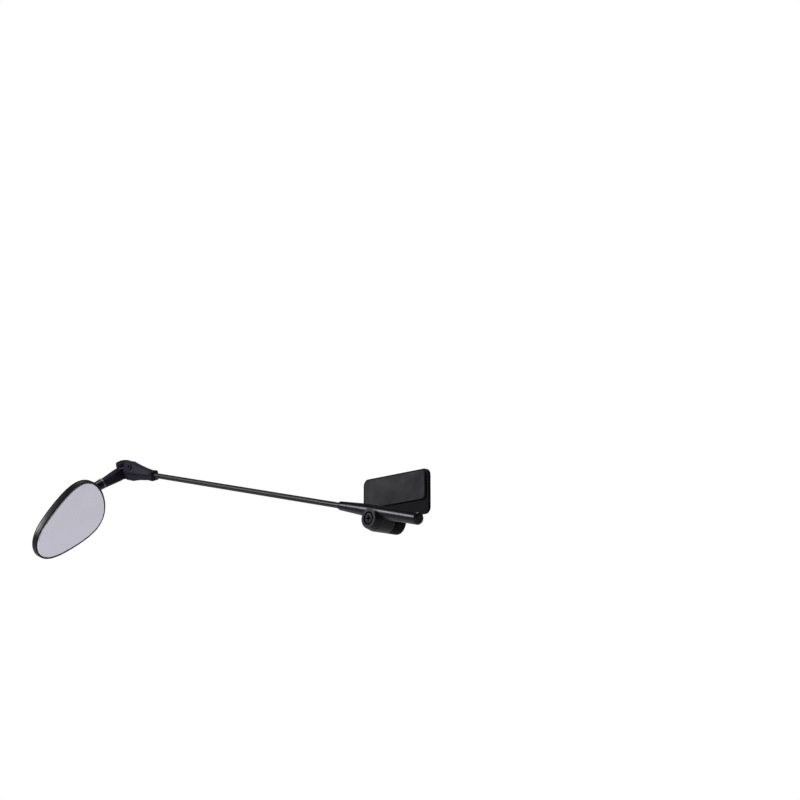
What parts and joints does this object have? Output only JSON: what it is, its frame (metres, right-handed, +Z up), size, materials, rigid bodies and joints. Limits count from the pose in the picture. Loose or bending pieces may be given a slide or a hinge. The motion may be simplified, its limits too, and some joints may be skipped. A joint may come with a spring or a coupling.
{
  "type": "bicycle helmet mirror",
  "caption": "Helmet-mounted bicycle mirror: adhesive base, pivoting sleeve, sliding and turning rod, tilting stem and swivelling egg-shaped mirror.",
  "frame": {"origin": "centre of the adhesive pad's bonding face", "axes": "-Y is the outward normal of the bonding face, away from the wearer; +X points to the back end of the arm, away from the mirror; +Z is up"},
  "size_m": [0.282, 0.0772, 0.0723],
  "materials": {
    "base_plastic": "fine-grained moulded nylon",
    "sleeve_plastic": "satin moulded plastic with a soft highlight",
    "joint_plastic": "satin moulded plastic, slightly violet black",
    "housing_plastic": "satin moulded plastic",
    "rod_coating": "extruded black coating",
    "black_steel": "black oxide",
    "zinc_steel": "zinc plated",
    "collar_metal": "black nickel",
    "bright_trim": "bright satin",
    "white_nylon": "natural nylon",
    "rubber": "black nitrile",
    "adhesive_foam": "double-sided acrylic foam",
    "mirror_glass": "silvered mirror, ground edge"
  },
  "bodies": {
    "base": {"base_plate": "base_plastic", "adhesive_pad": "adhesive_foam", "pivot_screw": "black_steel", "pivot_nut": "zinc_steel", "lock_washer": "zinc_steel", "friction_washer": "white_nylon"},
    "sleeve": {"sleeve": "sleeve_plastic", "nose_bush": "sleeve_plastic", "sleeve_end_cap": "sleeve_plastic"},
    "slider": {"rod_slider": "white_nylon"},
    "rod": {"rod_wire": "zinc_steel", "rod_sheath": "rod_coating", "rod_retainer": "zinc_steel", "arm_end_upper": "joint_plastic", "arm_end_lower": "joint_plastic", "arm_end_ferrule": "joint_plastic", "clamp_screw": "zinc_steel", "tilt_screw": "black_steel", "tilt_nut": "zinc_steel", "tilt_washers": "white_nylon"},
    "stem": {"stem": "joint_plastic", "swivel_collar": "collar_metal", "swivel_o_ring": "rubber", "swivel_washer": "zinc_steel", "swivel_screw": "zinc_steel"},
    "head": {"mirror_housing": "housing_plastic", "lens_tape": "adhesive_foam", "mirror_lens": "mirror_glass", "lens_ring": "bright_trim"}
  },
  "joints": [
    {"name": "arm_pivot", "type": "hinge", "parent": "base", "child": "sleeve", "pos_m": [0, -0.0105, -0.0175], "axis": [0, 1, 0], "continuous": true},
    {"name": "rod_slide", "type": "slide", "parent": "sleeve", "child": "slider", "axis": [-0.9737, 0, 0.2277], "range_m": [-0.0235, 0.02]},
    {"name": "rod_twist", "type": "hinge", "parent": "slider", "child": "rod", "pos_m": [0.00092, -0.0135, -0.01357], "axis": [-0.9737, 0, 0.2277], "continuous": true},
    {"name": "stem_tilt", "type": "hinge", "parent": "rod", "child": "stem", "pos_m": [-0.23346, -0.0135, 0.04123], "axis": [0.2111, -0.3746, 0.9028], "range_deg": [-201, 8]},
    {"name": "mirror_swivel", "type": "hinge", "parent": "stem", "child": "head", "pos_m": [-0.23374, -0.03177, 0.02926], "axis": [-0.0157, -0.8289, -0.5592], "continuous": true}
  ]
}
